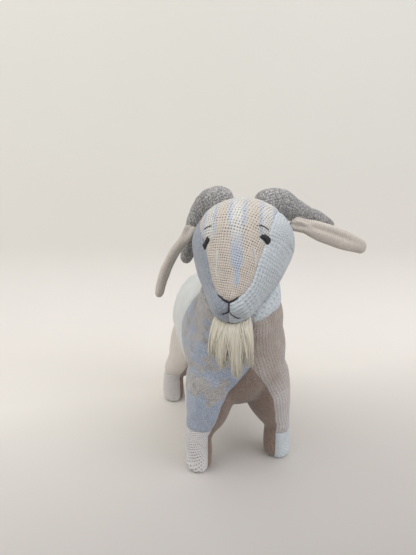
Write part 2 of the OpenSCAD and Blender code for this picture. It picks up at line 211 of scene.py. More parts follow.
def stitch_pattern():
    """The relief of plain knitting as a node group: columns of V stitches, given a place on the cloth in
    metres. Relief is 1 on the yarn and 0 in the gaps. Bare is 1 only in the small holes between two
    columns, where the legs of their Vs meet."""
    tree = bpy.data.node_groups.new("knit stitches", "ShaderNodeTree")
    face = tree.interface
    face.new_socket("Place", in_out="INPUT", socket_type="NodeSocketVector")
    face.new_socket("Wale", in_out="INPUT", socket_type="NodeSocketFloat")
    face.new_socket("Course", in_out="INPUT", socket_type="NodeSocketFloat")
    face.new_socket("Relief", in_out="OUTPUT", socket_type="NodeSocketFloat")
    face.new_socket("Bare", in_out="OUTPUT", socket_type="NodeSocketFloat")
    given = tree.nodes.new("NodeGroupInput")
    result = tree.nodes.new("NodeGroupOutput")
    split = add(tree, "SeparateXYZ", given.outputs["Place"])
    across = add(tree, "Math", split.outputs[0], given.outputs["Wale"], operation="DIVIDE")
    along = add(tree, "Math", split.outputs[1], given.outputs["Course"], operation="DIVIDE")
    # 0 in the middle of a column of stitches and 1 at its edges
    part = add(tree, "Math", across, operation="FRACT")
    centred = add(tree, "Math", part, 2.0, -1.0, operation="MULTIPLY_ADD")
    out = add(tree, "Math", centred, operation="ABSOLUTE")
    # each leg of the V rises from the middle to the edge
    raised = add(tree, "Math", out, -0.5, along, operation="MULTIPLY_ADD")
    turn = add(tree, "Math", raised, 2 * math.pi, operation="MULTIPLY")
    wave = add(tree, "Math", turn, operation="COSINE")
    ridge = add(tree, "Math", wave, 0.5, 0.5, operation="MULTIPLY_ADD")
    arc = add(tree, "Math", out, math.pi, operation="MULTIPLY")
    leg = add(tree, "Math", arc, operation="SINE")
    full = add(tree, "Math", leg, 0.7, 0.3, operation="MULTIPLY_ADD")
    relief = add(tree, "Math", ridge, full, operation="MULTIPLY")
    gap = add(tree, "Math", 1.0, ridge, operation="SUBTRACT")
    foot = add(tree, "Math", out, gap, operation="MULTIPLY")
    bare = add(tree, "Math", foot, foot, operation="MULTIPLY")
    tree.links.new(relief.outputs[0], result.inputs["Relief"])
    tree.links.new(bare.outputs[0], result.inputs["Bare"])
    return tree


STITCHES = stitch_pattern()


def knit(name, yarn, fleck, wale, course, relief, felting=0.3, flecks=0.35, hole_shade=0.5, paint=None, lines=0.0,
         lines_end=None):
    """Wool knit. The yarn is matt and hairy, so it has a soft sheen at its edges and no gloss; felting
    fills the gaps between the stitches with fibre, so they take less of the painted shade that darkens the
    colour in the gaps and most of all in the holes between columns. wale and course are a stitch's width
    and height in mm, relief is in mm, lines paints shade into the furrows between columns as a rib's
    furrows take it, to a third of that beyond lines_end mm up the cloth. paint(tree) gives a colour of its
    own in place of the yarn's."""
    made, tree = new_material(name)
    flat = add(tree, "UVMap", uv_map="cloth")
    place = add(tree, "TexCoord")
    # the rows wander by a fraction of a stitch, as stretched hand knitting does
    wander = add(tree, "TexNoise", flat, Scale=90.0, Detail=2.0, noise_dimensions="3D")
    pulled = add(tree, "VectorMath", wander.outputs["Color"], (0.5, 0.5, 0.5), operation="SUBTRACT")
    small = add(tree, "VectorMath", pulled, (wale * 1.1 * MM,) * 3, operation="MULTIPLY")
    moved = add(tree, "VectorMath", flat, small, operation="ADD")
    knitted = tree.nodes.new("ShaderNodeGroup")
    knitted.node_tree = STITCHES
    tree.links.new(moved.outputs[0], knitted.inputs["Place"])
    knitted.inputs["Wale"].default_value = wale * MM
    knitted.inputs["Course"].default_value = course * MM
    # single fibres and flecks of the second colour
    fibre = add(tree, "TexNoise", place.outputs["Object"], Scale=1100.0, Detail=5.0, Roughness=0.7)
    speck = add(tree, "TexNoise", place.outputs["Object"], Scale=650.0, Detail=3.0, Roughness=0.6)
    amount = add(tree, "MapRange", speck, 0.42, 0.66, 0.0, flecks)
    tone_shift = add(tree, "TexNoise", place.outputs["Object"], Scale=38.0, Detail=3.0)
    tone = add(tree, "MapRange", tone_shift, 0.3, 0.7, 0.93, 1.05)
    base = paint(tree) if paint else None
    heather = add(tree, "Mix", amount, data_type="RGBA", A=base or srgb(yarn), B=srgb(fleck))
    # painted shade: the gaps between stitches are darkened, and the holes between columns darkest, more so in
    # some places
    gap = add(tree, "MapRange", knitted.outputs["Relief"], 0.0, 0.7, 0.9 + 0.07 * felting, 1.03)
    hole_shade_amount = add(tree, "MapRange", knitted.outputs["Bare"], 0.15, 0.55, 0.0, hole_shade)
    open_here = add(tree, "MapRange", wander, 0.38, 0.6, 0.3, 1.0)
    hole_painted_shade = add(tree, "Math", hole_shade_amount, open_here, operation="MULTIPLY")
    hole_painted_shade = add(tree, "Math", 1.0, hole_painted_shade, operation="SUBTRACT")
    shade = add(tree, "Math", gap, hole_painted_shade, operation="MULTIPLY")
    shade = add(tree, "Math", shade, tone, operation="MULTIPLY")
    # painted shade in the furrows between the columns, as it falls in a rib
    if lines:
        split = add(tree, "SeparateXYZ", moved)
        column = add(tree, "Math", split.outputs[0], 2 * math.pi / (wale * MM), operation="MULTIPLY")
        rib = add(tree, "Math", column, operation="COSINE")
        furrow_shade_depth = 1.0 - lines
        if lines_end:
            fading = (lines_end * MM, (lines_end + 25) * MM)
            furrow_shade_depth = add(tree, "MapRange", split.outputs[1], *fading, furrow_shade_depth, 1 - lines / 3)
        dark = add(tree, "MapRange", rib, -1.0, 1.0, 1.0, furrow_shade_depth)
        shade = add(tree, "Math", shade, dark, operation="MULTIPLY")
    fuzz = add(tree, "MapRange", fibre, 0.3, 0.7, 0.8, 1.2)
    shade = add(tree, "Math", shade, fuzz, operation="MULTIPLY")
    colour = add(tree, "VectorMath", heather.outputs["Result"], operation="SCALE", Scale=shade)
    # relief of the stitches under a layer of loose fibre
    felted = add(tree, "Math", fibre, 0.35 + 0.5 * felting, operation="MULTIPLY")
    under = 1.0 - 0.6 * felting
    height = add(tree, "Math", knitted.outputs["Relief"], under, felted, operation="MULTIPLY_ADD")
    bump = add(tree, "Bump", Strength=0.85, Distance=relief * MM, Height=height)
    surface = add(
        tree, "BsdfPrincipled", Base_Color=colour, Roughness=0.92, Normal=bump, Sheen_Weight=0.35,
        Sheen_Roughness=0.45,
    )
    surface.inputs["Specular IOR Level"].default_value = 0.2
    add(tree, "OutputMaterial", surface)
    return made


def step_at(tree, value, edge, soft):
    """1 where value is over edge and 0 under it, over a soft width."""
    return add(tree, "MapRange", value, edge - soft, edge + soft, 0.0, 1.0)


def striped(tree):
    """The head strip's stripes lean a little across it. In the middle is cream, which turns to blue that
    narrows to a point on the nose. Outwards follow blue, beige, blue, cream, blue and beige, but only beige
    below the eyes."""
    cream, blue, beige = srgb("#e2e0da"), srgb("#c0cad9"), srgb("#dacfc2")
    place = add(tree, "UVMap", uv_map="strip")
    split = add(tree, "SeparateXYZ", place)
    up = split.outputs[1]
    lean = add(tree, "Math", up, 0.09, 0.0, operation="MULTIPLY_ADD")
    across = add(tree, "Math", split.outputs[0], lean, operation="ADD")
    rough = add(tree, "TexNoise", place, Scale=420.0, Detail=1.0)
    sway = add(tree, "MapRange", rough, 0.3, 0.7, -0.7 * MM, 0.7 * MM)
    side = add(tree, "Math", across, operation="ABSOLUTE")
    side = add(tree, "Math", side, sway, operation="ADD")
    soft = 0.5 * MM
    result = blue
    for edge, tone in ((8.0, beige), (18.6, blue), (21.4, cream), (29.3, blue), (32.6, beige)):
        over = step_at(tree, side, edge * MM, soft)
        result = add(tree, "Mix", over, data_type="RGBA", A=result, B=tone).outputs["Result"]
    # only beige is left below the eyes, outside the middle stripe
    low = add(tree, "MapRange", up, -22 * MM, -13 * MM, 1.0, 0.0)
    past = step_at(tree, side, 8.0 * MM, soft)
    lowered = add(tree, "Math", low, past, operation="MULTIPLY")
    result = add(tree, "Mix", lowered, data_type="RGBA", A=result, B=beige).outputs["Result"]
    # the middle stripe is narrower below the forehead and ends in a point
    wide = add(tree, "MapRange", up, -14 * MM, -2 * MM, 4.9 * MM, 8.2 * MM)
    tapering = add(tree, "MapRange", up, -47 * MM, -41 * MM, 0.42, 1.0)
    ending = add(tree, "MapRange", up, -61 * MM, -57 * MM, -0.4, 1.0)
    width = add(tree, "Math", wide, tapering, operation="MULTIPLY")
    width = add(tree, "Math", width, ending, operation="MULTIPLY")
    beyond = add(tree, "Math", side, width, operation="SUBTRACT")
    beyond = step_at(tree, beyond, 0.0, soft)
    inner = add(tree, "Math", 1.0, past, operation="SUBTRACT")
    inner = add(tree, "Math", inner, beyond, operation="MULTIPLY")
    result = add(tree, "Mix", inner, data_type="RGBA", A=result, B=beige).outputs["Result"]
    # the cream in the middle of the forehead
    centre = add(tree, "MapRange", side, 3.6 * MM, 5.4 * MM, 1.0, 0.0)
    high = add(tree, "MapRange", up, -32 * MM, -12 * MM, 0.0, 1.0)
    centre = add(tree, "Math", centre, high, operation="MULTIPLY")
    result = add(tree, "Mix", centre, data_type="RGBA", A=result, B=cream).outputs["Result"]
    # the stripes turn part way to cream towards the crown
    tone_shift = add(tree, "MapRange", up, 8 * MM, 26 * MM, 0.0, 0.55)
    return add(tree, "Mix", tone_shift, data_type="RGBA", A=result, B=cream).outputs["Result"]


def flowered(tree):
    """Loose flowers of beige and grey wool on blue, where the cloth's print attribute says. Each flower is
    a paler ring round a darker heart, flecked with the blue."""
    place = add(tree, "TexCoord").outputs["Object"]
    mark = add(tree, "Attribute", attribute_name="print")
    ragged = add(tree, "TexNoise", place, Scale=300.0, Detail=3.0, Roughness=0.65)
    edge = add(tree, "MapRange", ragged, 0.3, 0.7, -0.35, 0.35)
    depth = add(tree, "Math", mark.outputs["Fac"], edge, operation="ADD")
    share = add(tree, "MapRange", depth, 0.4, 0.6, 0.0, 0.88)
    petals = add(tree, "TexVoronoi", place, Scale=110.0, feature="F1")
    ring = add(tree, "MapRange", petals.outputs["Distance"], 0.2, 0.55, 0.0, 1.0)
    wool = add(tree, "Mix", ring, data_type="RGBA", A=srgb("#8e8a88"), B=srgb("#a9a39e"))
    both = add(tree, "Mix", share, data_type="RGBA", A=srgb("#94a1b5"), B=wool.outputs["Result"])
    return both.outputs["Result"]


def faded(light, dark, z_low, z_high, patches):
    """A knit that changes colour down its length, with faint patches of a third colour."""

    def paint(tree):
        place = add(tree, "TexCoord").outputs["Object"]
        split = add(tree, "SeparateXYZ", place)
        blot = add(tree, "TexNoise", place, Scale=28.0, Detail=2.0)
        sway = add(tree, "MapRange", blot, 0.3, 0.7, -22 * MM, 22 * MM)
        height = add(tree, "Math", split.outputs[2], sway, operation="ADD")
        share = add(tree, "MapRange", height, z_low * MM, z_high * MM, 0.0, 1.0)
        main = add(tree, "Mix", share, data_type="RGBA", A=srgb(light), B=srgb(dark))
        spots = add(tree, "TexNoise", place, Scale=60.0, Detail=1.0)
        where = add(tree, "MapRange", spots, 0.56, 0.62, 0.0, 0.6)
        whole = add(tree, "Mix", where, data_type="RGBA", A=main.outputs["Result"], B=srgb(patches))
        return whole.outputs["Result"]

    return paint


CLOTH = {
    # each stitch is as wide and high in mm as it needs to be to show, which is coarser than fine real knit
    "strip": knit("striped lambswool knit", "#dbccbf", "#e2d8cf", 2.7, 2.9, 0.6, 0.05, 0.3, 0.95,
                  striped, lines=0.1),
    "cheek": knit("ribbed pale blue wool", "#ccd3d7", "#d9dfe2", 3.0, 3.4, 0.8, 0.15, 0.3, 0.18, lines=0.27,
                  lines_end=24),
    "pale blue": knit("pale blue wool knit", "#d0d8dc", "#dae2e7", 2.2, 2.6, 0.55, 0.4, 0.3, 0.2, lines=0.08),
    "blue": knit("grey-blue felted wool", "#8c939e", "#b1b5ba", 1.8, 2.0, 0.3, 0.5, 0.7, 0.18),
    "flowered": knit("flowered wool knit", "#94a1b5", "#cdccc9", 1.7, 1.9, 0.35, 0.3, 0.6, 0.35, flowered),
    "taupe": knit("taupe ribbed wool", "#b6aaa2", "#c9bfb8", 3.0, 2.6, 0.6, 0.4, 0.35, 0.2,
                  faded("#ccc7c7", "#b1a49b", 70, 125, "#bdb2ab"), lines=0.2),
    "cream": knit("cream fine merino knit", "#ced0cc", "#dadbd9", 1.3, 1.6, 0.2, 0.7, 0.3, 0.06,
                  faded("#cdc8c0", "#cdd0ce", 70, 140, "#d0cec8")),
    "beige": knit("beige felted wool", "#cdc5bc", "#d6d0c7", 1.8, 2.0, 0.3, 0.7, 0.4, 0.12),
    "brown": knit("brown felted wool", "#7f6e63", "#a08e83", 1.7, 1.9, 0.4, 0.5, 0.6, 0.3),
    "grey": knit("grey wool knit", "#cac6c3", "#e0ddd9", 2.2, 2.6, 0.4, 0.4, 0.4, 0.3),
    "moss": knit("pale moss-stitch wool", "#dedbdb", "#eae8e6", 2.5, 2.9, 0.8, 0.05, 0.3, 0.95),
    "horn": knit("marled grey wool knit", "#838180", "#dddbd8", 2.0, 2.2, 0.5, 0.15, 0.9, 0.5, lines=0.14),
    "ear": knit("beige ribbed wool", "#cfc6bb", "#ddd5ca", 1.8, 2.0, 0.35, 0.5, 0.35, 0.15, lines=0.12),
}


# ---- Stuffed forms -------------------------------------------------------------------------------


def stuffed_form(nodes, voxel, rounds):
    """One smooth skin round the outside of the nodes, as a bmesh."""
    bm = bmesh.new()
    for n in nodes:
        bm.from_mesh(frame["nodes"][n].data)
    bmesh.ops.remove_doubles(bm, verts=bm.verts, dist=1e-6)
    rough = object_from(bm, "rough", smooth=False)
    remesh = rough.modifiers.new("skin", "REMESH")
    remesh.mode = "VOXEL"
    remesh.voxel_size = voxel * MM
    smoother = rough.modifiers.new("smooth", "SMOOTH")
    smoother.iterations = rounds
    smoother.factor = 0.5
    bpy.context.view_layer.update()
    skin = bpy.data.meshes.new_from_object(rough.evaluated_get(bpy.context.evaluated_depsgraph_get()))
    bpy.data.objects.remove(rough)
    made = bmesh.new()
    made.from_mesh(skin)
    bpy.data.meshes.remove(skin)
    made.normal_update()
    return made


def lumps(p, size, seed):
    """Smooth noise, about -1 to 1, with lumps of the given size in mm."""
    return noise.noise(p / (size * MM) + Vector((seed, seed * 1.7, -seed)))


def swell(bm, amount):
    """Moves each vertex along its normal by amount(vertex) mm."""
    bm.normal_update()
    moves = [(v, v.normal.copy(), amount(v)) for v in bm.verts]
    for v, n, a in moves:
        v.co += n * (a * MM)


def cut(bm, axis, offset=None):
    """Cuts every face that crosses the seam where co[axis] = offset(co). The offset doesn't depend on that
    axis."""
    normal = [0, 0, 0]
    normal[axis] = 1
    for v in bm.verts:
        v.co[axis] -= offset(v.co) if offset else 0
    bmesh.ops.bisect_plane(
        bm, geom=bm.verts[:] + bm.edges[:] + bm.faces[:], dist=0.00015, plane_co=(0, 0, 0), plane_no=normal
    )
    for v in bm.verts:
        v.co[axis] += offset(v.co) if offset else 0


def seam_line(points, given, scale=1.0):
    """A seam through points in mm: a function of a place that gives the wanted coordinate from the given
    one."""
    xs, ys = zip(*sorted(points))

    def read(co):
        return scale * float(np.interp(co[given] / MM, xs, ys)) * MM

    return read


def far_from_seams(bm, panel_of, flat_seams=()):
    """Sets each face's panel number, and gives each vertex's distance to the nearest seam, in mm, and the
    places on each seam. flat_seams names the pairs of panels that meet without a furrow."""
    names = []
    for f in bm.faces:
        name = panel_of(f.calc_center_median())
        if name not in names:
            names.append(name)
        f.material_index = names.index(name)
    seam, seams = [], {}
    for v in bm.verts:
        pair = frozenset(names[f.material_index] for f in v.link_faces)
        if len(pair) > 1:
            seams.setdefault(pair, []).append(v.co.copy())
            if pair not in flat_seams:
                seam.append(v)
    tree = KDTree(len(seam))
    for i, v in enumerate(seam):
        tree.insert(v.co, i)
    tree.balance()
    return names, {v: tree.find(v.co)[2] / MM for v in bm.verts}, seams


def panels(bm, names, prefix=""):
    """Takes the form apart into one open sheet for each panel."""
    made = {}
    for i, name in enumerate(names):
        part = bm.copy()
        bmesh.ops.delete(part, geom=[f for f in part.faces if f.material_index != i], context="FACES")
        for f in part.faces:
            f.material_index = 0
        made[name] = object_from(part, prefix + name)
    bm.free()
    return made


def lay_along(piece, seams, start=0.0):
    """A UV map in metres whose columns of stitches run beside one or two seams, and bend smoothly from one
    to the other. Each seam is a list of places and how far along it each is. u is the distance from the
    seams, and v the way along them."""
    mesh = piece.data
    layer = mesh.uv_layers.new(name="cloth")
    trees = []
    for seam in seams:
        tree = KDTree(len(seam))
        for i, (co, _) in enumerate(seam):
            tree.insert(co, i)
        tree.balance()
        trees.append(tree)
    bend = 9 * MM
    flat = []
    for v in mesh.vertices:
        shares = []
        for seam, tree in zip(seams, trees):
            near = [(1 / (d + 0.4 * MM) ** 2, seam[i]) for _, i, d in tree.find_n(v.co, 5)]
            total = sum(w for w, _ in near)
            middle = sum((w * co for w, (co, _) in near), Vector()) / total
            out = (v.co - middle).length
            shares.append((math.exp(-out / bend), sum(w * run for w, (_, run) in near) / total))
        whole = sum(w for w, _ in shares)
        flat.append((-bend * math.log(whole), start + sum(w * run for w, run in shares) / whole))
    for corner in mesh.loops:
        layer.uv[corner.index].vector = flat[corner.vertex_index]


def lay_flat(piece, up):
    """Unwraps a panel into its UV map in metres, turned so that its columns of stitches run along up."""
    mesh = piece.data
    mesh.uv_layers.active = mesh.uv_layers.new(name="cloth")
    bpy.context.view_layer.objects.active = piece
    piece.select_set(True)
    bpy.ops.object.mode_set(mode="EDIT")
    bpy.ops.mesh.select_all(action="SELECT")
    bpy.ops.uv.unwrap(method="CONFORMAL", margin=0.0)
    bpy.ops.object.mode_set(mode="OBJECT")
    piece.select_set(False)
    count = len(mesh.loops)
    flat = np.zeros(count * 2)
    mesh.uv_layers["cloth"].uv.foreach_get("vector", flat)
    flat = flat.reshape(-1, 2)
    places = np.zeros(len(mesh.vertices) * 3)
    mesh.vertices.foreach_get("co", places)
    corner = np.zeros(count, int)
    mesh.loops.foreach_get("vertex_index", corner)
    places = places.reshape(-1, 3)[corner]
    starts = np.zeros(len(mesh.polygons), int)
    mesh.polygons.foreach_get("loop_start", starts)
    e1, e2 = places[starts + 1] - places[starts], places[starts + 2] - places[starts]
    d1, d2 = flat[starts + 1] - flat[starts], flat[starts + 2] - flat[starts]
    way = np.array(up, float)
    a11, a12, a22 = (e1 * e1).sum(1), (e1 * e2).sum(1), (e2 * e2).sum(1)
    b1, b2 = e1 @ way, e2 @ way
    det = np.maximum(a11 * a22 - a12 * a12, 1e-20)
    run = ((b1 * a22 - b2 * a12) / det)[:, None] * d1 + ((b2 * a11 - b1 * a12) / det)[:, None] * d2
    area = np.sqrt(det)
    mean = (run * area[:, None]).sum(0)
    flat_area = np.abs(d1[:, 0] * d2[:, 1] - d1[:, 1] * d2[:, 0]).sum()
    scale = math.sqrt(area.sum() / max(flat_area, 1e-12))
    c, s = mean[1] / np.linalg.norm(mean), mean[0] / np.linalg.norm(mean)
    turned = np.stack([flat[:, 0] * c - flat[:, 1] * s, flat[:, 0] * s + flat[:, 1] * c], 1) * scale
    mesh.uv_layers["cloth"].uv.foreach_set("vector", turned.ravel())


def as_cloth(piece, material, thick=1.8):
    """Gives a panel its cloth, with its thickness inwards."""
    piece.data.materials.append(CLOTH[material])
    solid = piece.modifiers.new("cloth thickness", "SOLIDIFY")
    solid.thickness = thick * MM
    solid.offset = -1


# ---- Body ----------------------------------------------------------------------------------------

HOOF_TOP = {("front", "left"): 31.6, ("front", "right"): 48.8, ("rear", "left"): 40, ("rear", "right"): 40}
LEG_SEAM_H, BELLY_APEX = 88, 119
GUSSET_EDGE = [(-5, 37), (42, 37), (48, 34.5), (65, 30), (79, 27), (91, 21), (101, 14), (112, 6), (119, 0)]
FORE_EDGE = [(-5, -66.5), (40, -66.5), (81, -62.5), (95, -48.5), (108, -25.5), (122, -11.5), (136, -8.5),
             (151, -11.5), (165, -15.5), (193, -14.5), (240, -14.5)]
NECK_EDGE = [(-140, 162), (-103.5, 165.5), (-97.5, 171.5), (-90.5, 172.5), (-83.5, 175),
             (-70.5, 179), (-52.5, 183), (-36.5, 187), (-36, 260)]
THIGH_EDGE = [(12, -5), (20, 40), (26, 69), (48.5, 102), (68.5, 110), (86.5, 104), (120, 101)]

TORSO = [n for n in frame["record"]["behaviour"]["bodies"]["torso"]]
HEAD_CLOTH = ["head_gusset", "head_side_left", "head_side_right", "head_fill"]


def body_panel(p):
    x, y, z = p / MM
    hand = "left" if x > 0 else "right"
    end = "front" if y < 0 else "rear"
    if abs(x) < np.interp(z, *zip(*GUSSET_EDGE)) and z < BELLY_APEX:
        return "belly_gusset"
    if z < HOOF_TOP[end, hand]:
        return f"hoof_{end}_{hand}"
    if z > np.interp(y, *zip(*NECK_EDGE)):
        return f"neck_{hand}"
    if y < np.interp(z, *zip(*FORE_EDGE)):
        return f"front_leg_{hand}" if z < LEG_SEAM_H else f"chest_{hand}"
    if y > 12 and z < np.interp(y, *zip(*THIGH_EDGE)):
        return f"rear_leg_{hand}"
    return f"body_side_{hand}"


head_form = stuffed_form(HEAD_CLOTH, 1.5, 22)
head_tree = BVHTree.FromBMesh(head_form)


def outside_head(p):
    """How far a place is outside the head's cloth, in mm."""
    near, normal, _, distance = head_tree.find_nearest(p)
    return math.copysign(distance, (p - near).dot(normal)) / MM


def make_body():
    bm = stuffed_form(TORSO + HEAD_CLOTH, 1.7, 30)
    # the neck's cloth runs into the head, so the head's own part of the form is taken off it
    gone = [
        f for f in bm.faces
        if f.calc_center_median().z > 0.15 and outside_head(f.calc_center_median()) < 0.5
    ]
    bmesh.ops.delete(bm, geom=gone, context="FACES")
    kept, rest = set(), set(bm.faces)
    while rest:
        patch, edge = set(), [next(iter(rest))]
        while edge:
            f = edge.pop()
            if f in patch:
                continue
            patch.add(f)
            edge += [g for e in f.edges for g in e.link_faces if g not in patch]
        rest -= patch
        kept = max(kept, patch, key=len)
    bmesh.ops.delete(bm, geom=[f for f in bm.faces if f not in kept], context="FACES")
    bmesh.ops.translate(bm, verts=bm.verts, vec=-GOAT)
    cut(bm, 0)
    cut(bm, 0, seam_line(GUSSET_EDGE, 2))
    cut(bm, 0, seam_line(GUSSET_EDGE, 2, -1.0))
    for height in sorted(set(HOOF_TOP.values())):
        cut(bm, 2, lambda co: height * MM)
    cut(bm, 2, lambda co: LEG_SEAM_H * MM)
    cut(bm, 1, seam_line(FORE_EDGE, 2))
    cut(bm, 2, seam_line(NECK_EDGE, 1))
    cut(bm, 2, seam_line(THIGH_EDGE, 1))
    unmarked = [frozenset((f"chest_{hand}", f"front_leg_{hand}")) for hand in ("left", "right")]
    unmarked.append(frozenset(("neck_right", "chest_right")))
    names, far, seams = far_from_seams(bm, body_panel, unmarked)

    def shape(v):
        s = far[v]
        pucker = 1 + 0.5 * lumps(v.co, 6, 3)
        on_leg = max(0.35, min(1, (v.co.z - 70 * MM) / (40 * MM)))
        sink = -(0.7 + 0.8 * on_leg) * pucker * math.exp(-((s / 2.4) ** 2))
        full = 0.9 * on_leg * (1 - math.exp(-((s / 14) ** 2)))
        soft = 0.9 * lumps(v.co, 26, 1) + 0.35 * lumps(v.co, 9, 2)
        return 1.1 + sink + full + soft * min(1, v.co.z / (12 * MM))

    swell(bm, shape)
    for v in bm.verts:
        v.co.z = max(v.co.z, 0)
        if v.is_boundary:
            # the neck's rim is tucked under the head's cloth
            v.co += (SKULL - GOAT - v.co).normalized() * (2.4 * MM)
    bmesh.ops.translate(bm, verts=bm.verts, vec=GOAT)
    left = {"chest_left", "front_leg_left"}
    return panels(bm, names), [
        [(co + GOAT, co.z) for pair, places in seams.items() if pair & left and other in pair
         for co in places]
        for other in ("belly_gusset", "chest_right")
    ]


BODY_LOOK = {
    "body_side_left": ("cream", "cream_knit"), "body_side_right": ("cream", "cream_knit"),
    "chest_left": ("taupe", "taupe_knit"), "chest_right": ("flowered", "floral_knit"),
    "neck_left": ("pale blue", "pale_blue_knit"), "neck_right": ("flowered", "floral_knit"),
    "front_leg_left": ("taupe", "grey_beige_knit"), "front_leg_right": ("flowered", "blue_knit"),
    "rear_leg_left": ("beige", "beige_knit"), "rear_leg_right": ("beige", "beige_knit"),
    "belly_gusset": ("brown", "brown_knit"),
    "hoof_front_left": ("pale blue", "pale_blue_knit"), "hoof_front_right": ("moss", "white_grey_knit"),
    "hoof_rear_left": ("grey", "grey_knit"), "hoof_rear_right": ("grey", "grey_knit"),
}
STUFFED_BY = {
    "body_side_left": ["torso_fill"],
    "front_leg_left": ["leg_fill_front_left"], "front_leg_right": ["leg_fill_front_right"],
    "rear_leg_left": ["leg_fill_rear_left"], "rear_leg_right": ["leg_fill_rear_right"],
}

# The print on the goat's right side, from the front: grey-beige flowers below the middle of the chest, and
# patches of blue above it. Each has its middle, x and z, and its radius, in mm
FLOWERS = [(-45, 101, 8), (-53, 96, 8), (-36, 92, 8), (-29, 95, 7), (-44, 117, 5), (-52, 118, 6),
           (-24, 104, 5), (-34, 119, 4), (-37, 86, 5)]
BLUE_PATCHES = [(-54, 160, 5), (-51, 147, 5), (-35, 150, 5), (-43, 134, 7), (-47, 124, 5), (-32, 128, 4),
                (-38, 162, 3), (-27, 138, 4), (-54, 133, 4)]


def printed(p):
    """How much of the flower print shows at a place: 1 in a flower and 0 in the plain blue."""
    x, y, z = (p - GOAT) / MM
    across = x - 0.35 * max(0, y + 70)
    shown = max(0, min(1, (z - 117) / 8))

    def inside(blot):
        bx, bz, r = blot
        return max(0, min(1, 1.5 - math.hypot(across - bx, z - bz) / r))

    shown = max([shown] + [inside(f) for f in FLOWERS])
    hidden = [inside(b) for b in BLUE_PATCHES]
    if y > -60:
        shown = max(shown, max(0, min(1, (z - 96) / 8)))
        hidden.append(max(0, min(1, 0.5 + 1.6 * (lumps(p, 17, 41) - 0.12))))
    return max(0, min(1, shown - 0.85 * max(hidden) + 0.25 * lumps(p, 7, 43)))


body_pieces, belly_seams = make_body()
for name, piece in body_pieces.items():
    look, slot = BODY_LOOK[name]
    piece.name = name + "_cloth"
    if look == "taupe":
        lay_along(piece, belly_seams)
    else:
        lay_flat(piece, (0, 1, 0.2) if name == "belly_gusset" else (0.15, 0.0, 1.0))
    if look == "flowered":
        mark = piece.data.attributes.new("print", "FLOAT", "POINT")
        mark.data.foreach_set("value", [printed(v.co) for v in piece.data.vertices])
    as_cloth(piece, look)
    if name == "hoof_front_right":
        # the cream of the body's side runs on down the back of the leg
        piece.data.materials.append(CLOTH["cream"])
        for face in piece.data.polygons:
            face.material_index = int(face.center.y - GOAT.y > -66.5 * MM)
    if name.startswith("neck"):
        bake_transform(piece)
    else:
        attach(piece, "torso")
    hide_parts(name, *STUFFED_BY.get(name, []))


# ---- Head ----------------------------------------------------------------------------------------

row_to_face = face_to_row.inverted()
LEFT_EDGE = [(-76, 0), (-72.5, 0), (-69.5, 6.5), (-63, 12), (-56, 16.4), (-47, 19), (-38.5, 20.5),
             (-27, 23.2), (-15, 27.4), (-5, 28.5), (5, 30), (16, 31), (30, 33), (60, 36)]
RIGHT_EDGE = [(-76, 0), (-72.5, 0), (-68, 7), (-62, 13.4), (-52, 17.6), (-41, 21.5), (-32, 24), (-25, 26.5),
              (-18, 29.4), (-9, 34), (0, 38), (12, 39), (60, 39)]
EYES = {"left": Vector((24.4, -15.7)), "right": Vector((-25.6, -20.6))}
MOUTH = {"nose": [(-10.4, -32.5), (-5.7, -34.8), (0.5, -37.3), (5, -34.9), (8.6, -32.3)],
         "lip": [(0.5, -37.2), (0.3, -46.3)],
         "smile": [(-5.9, -48.4), (-2.2, -47), (0.3, -46), (3.1, -48.3), (6.9, -51.4), (9.7, -51.6)]}


def near_line(p, points):
    """Distance in mm from a flat place to a line through points."""
    best = 1e9
    for a, b in zip(points, points[1:]):
        a, b = Vector(a), Vector(b)
        t = max(0, min(1, (p - a).dot(b - a) / max((b - a).length_squared, 1e-9)))
        best = min(best, (p - a - (b - a) * t).length)
    return best


def head_panel(p):
    x, y, z = Vector(p) / MM
    edge = LEFT_EDGE if x > 0 else RIGHT_EDGE
    if abs(x) < np.interp(y, *zip(*edge)) and (z > 0 or y > 2):
        return "head_gusset"
    return "head_side_left" if x > 0 else "head_side_right"


def make_head():
    bm = head_form
    bm.transform(row_to_face)
    cut(bm, 0)
    cut(bm, 0, seam_line(LEFT_EDGE, 1))
    cut(bm, 0, seam_line(RIGHT_EDGE, 1, -1.0))
    cut(bm, 1, lambda co: 2 * MM)
    cut(bm, 2)
    names, far, seams = far_from_seams(bm, head_panel)
    strip_seam = [(face_to_row @ co, co.y) for co in seams[frozenset(("head_gusset", "head_side_left"))]]
    face_to_muzzle = muzzle_to_row.inverted() @ face_to_row

    def shape(v):
        s = far[v]
        on_front = face_to_muzzle @ v.co / MM
        flat = Vector((v.co.x, v.co.y)) / MM
        pucker = 1 + 0.4 * lumps(v.co, 5, 7)
        change = 0.2 - 1.0 * pucker * math.exp(-((s / 2.2) ** 2)) + 0.6 * (1 - math.exp(-((s / 12) ** 2)))
        change += 0.55 * lumps(v.co, 24, 4) + 0.2 * lumps(v.co, 8, 5)
        if v.co.z > 0:
            for eye in EYES.values():
                change -= 1.3 * math.exp(-(((flat - eye).length / 5.5) ** 2))
        if on_front.y < -46:
            front = Vector((on_front.x, on_front.z))
            change -= 1.1 * math.exp(-((near_line(front, MOUTH["smile"]) / 1.8) ** 2))
            change -= 0.9 * math.exp(-((near_line(front, MOUTH["lip"]) / 1.8) ** 2))
            for side in (-1, 1):
                change += 1.3 * math.exp(-(((front - Vector((side * 8.5, -43))).length / 6) ** 2))
            change += 1.0 * math.exp(-(((front - Vector((0, -55))).length / 6) ** 2))
        return change

    swell(bm, shape)
    strip_tree = BVHTree.FromBMesh(bm)
    made = panels(bm, names)
    for piece in made.values():
        layer = piece.data.uv_layers.new(name="strip")
        corner = np.zeros(len(piece.data.loops), int)
        piece.data.loops.foreach_get("vertex_index", corner)
        co = np.zeros(len(piece.data.vertices) * 3)
        piece.data.vertices.foreach_get("co", co)
        layer.uv.foreach_set("vector", co.reshape(-1, 3)[corner][:, :2].ravel())
        piece.data.transform(face_to_row)
    return made, strip_tree, strip_seam


